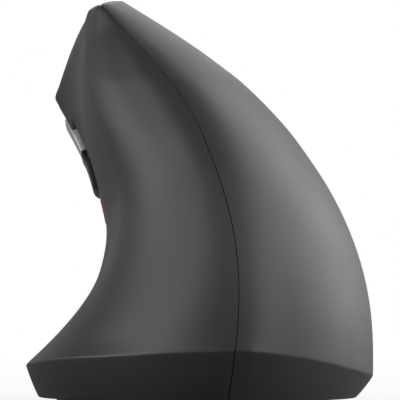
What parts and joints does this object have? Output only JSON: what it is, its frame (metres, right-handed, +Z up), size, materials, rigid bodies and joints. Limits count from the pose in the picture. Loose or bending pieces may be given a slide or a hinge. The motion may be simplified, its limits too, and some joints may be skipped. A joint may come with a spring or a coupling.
{
  "type": "vertical ergonomic mouse",
  "caption": "Right-hand cordless vertical mouse: two curved shells on a flared base, two hinged main keys, clickable scroll wheel, thumb buttons, speed button and battery base.",
  "frame": {"origin": "on the table plane under the glide feet, at the middle of the overall box", "axes": "+Z up, +Y from the wrist end towards the nose with the scroll wheel, thumb side at -X, palm side at +X"},
  "size_m": [0.0673, 0.12, 0.0774],
  "materials": {
    "soft_touch_shell": "fine soft-touch matte",
    "key_plastic": "fine matte",
    "gloss_trim": "gloss",
    "tyre_rubber": "matte ribbed",
    "grey_plastic": "moulded matte",
    "green_housing": "moulded matte",
    "base_plastic": "fine spark texture",
    "frame_plastic": "moulded matte",
    "circuit_board": "solder mask",
    "clear_lens": "clear moulded",
    "red_lens": "translucent red",
    "led_lens": "clear",
    "silver_button": "satin silver lacquer",
    "grey_button": "satin",
    "cell_jacket": "printed film, plain",
    "spring_steel": "nickel plated",
    "screw_steel": "zinc plated",
    "switch_knob": "moulded",
    "switch_steel": "tin plated",
    "receiver_plastic": "moulded matte",
    "glide_pad": "low-friction pad",
    "black_component": "moulded"
  },
  "bodies": {
    "case": {"thumb_shell": "soft_touch_shell", "palm_shell": "soft_touch_shell", "wheel_bezel": "gloss_trim", "base_plate": "base_plastic", "core_frame": "frame_plastic", "key_board": "circuit_board", "main_board": "circuit_board", "sensor_chip": "black_component", "sensor_lens": "clear_lens", "controller_chip": "black_component", "index_switch": "black_component", "middle_switch": "black_component", "wheel_switch": "black_component", "dpi_switch": "black_component", "forward_switch": "black_component", "back_switch": "black_component", "thumb_board": "circuit_board", "status_led": "led_lens", "light_strip": "red_lens", "board_screws": "screw_steel", "case_screws": "screw_steel", "foot_left": "glide_pad", "foot_front": "glide_pad", "foot_rear": "glide_pad", "foot_right": "glide_pad", "battery_cell": "cell_jacket", "battery_spring": "spring_steel", "battery_plates": "spring_steel", "power_switch": "switch_steel", "wheel_spring": "spring_steel"},
    "index_key": {"index_key": "key_plastic"},
    "middle_key": {"middle_key": "key_plastic"},
    "index_plunger": {"index_plunger": "switch_knob"},
    "middle_plunger": {"middle_plunger": "switch_knob"},
    "wheel_cradle": {"wheel_cradle": "grey_plastic", "wheel_encoder": "green_housing"},
    "scroll_wheel": {"wheel_tyre": "tyre_rubber", "wheel_hub": "grey_plastic"},
    "dpi_button": {"dpi_button": "grey_button"},
    "forward_button": {"forward_button": "silver_button"},
    "back_button": {"back_button": "grey_button"},
    "power_slider": {"power_slider": "switch_knob"},
    "battery_door": {"battery_door": "base_plastic"},
    "usb_receiver": {"usb_receiver": "receiver_plastic"}
  },
  "joints": [
    {"name": "index_press", "type": "hinge", "parent": "case", "child": "index_key", "pos_m": [0.00453, 0.00746, 0.06017], "axis": [-0.8062, 0.2329, 0.5439], "range_deg": [0, 0.45], "stiffness_Nm_per_rad": 1.6, "springref_deg": -0.23},
    {"name": "middle_press", "type": "hinge", "parent": "case", "child": "middle_key", "pos_m": [0.0267, 0.0075, 0.02975], "axis": [-0.5156, -0.036, 0.8561], "range_deg": [0, 0.45], "stiffness_Nm_per_rad": 1.6, "springref_deg": -0.23},
    {"name": "index_plunge", "type": "slide", "parent": "case", "child": "index_plunger", "axis": [-0.656, -0.3358, -0.6759], "range_m": [0, 0.00025]},
    {"name": "middle_plunge", "type": "slide", "parent": "case", "child": "middle_plunger", "axis": [-0.656, -0.3358, -0.6759], "range_m": [0, 0.00025]},
    {"name": "wheel_click", "type": "slide", "parent": "case", "child": "wheel_cradle", "axis": [-0.656, -0.3358, -0.6759], "range_m": [0, 0.0005], "stiffness_N_per_m": 2400, "springref_m": -0.0002},
    {"name": "wheel_spin", "type": "hinge", "parent": "wheel_cradle", "child": "scroll_wheel", "pos_m": [0.00195, 0.02649, 0.04778], "axis": [-0.7093, -0.0316, 0.7042], "continuous": true},
    {"name": "dpi_press", "type": "slide", "parent": "case", "child": "dpi_button", "axis": [-0.7063, -0.0944, -0.7015], "range_m": [0, 0.0005], "stiffness_N_per_m": 1500, "springref_m": -0.0002},
    {"name": "forward_press", "type": "slide", "parent": "case", "child": "forward_button", "axis": [0.9228, 0.0046, 0.3853], "range_m": [0, 0.0005], "stiffness_N_per_m": 1500, "springref_m": -0.0002},
    {"name": "back_press", "type": "slide", "parent": "case", "child": "back_button", "axis": [0.9228, 0.0046, 0.3853], "range_m": [0, 0.0005], "stiffness_N_per_m": 1500, "springref_m": -0.0002},
    {"name": "power_slide", "type": "slide", "parent": "case", "child": "power_slider", "axis": [0, 1, 0], "range_m": [0, 0.0025]},
    {"name": "door_swing", "type": "hinge", "parent": "case", "child": "battery_door", "pos_m": [0.0149, 0.0246, 0.0013], "axis": [1, 0, 0], "range_deg": [0, 75]},
    {"name": "receiver_pull", "type": "slide", "parent": "case", "child": "usb_receiver", "axis": [0, 0, -1], "range_m": [0, 0.008]}
  ],
  "couplings": [
    {"joint": "index_plunge", "follows": "index_press", "m_per_rad": 0.018622},
    {"joint": "middle_plunge", "follows": "middle_press", "m_per_rad": 0.020879}
  ]
}
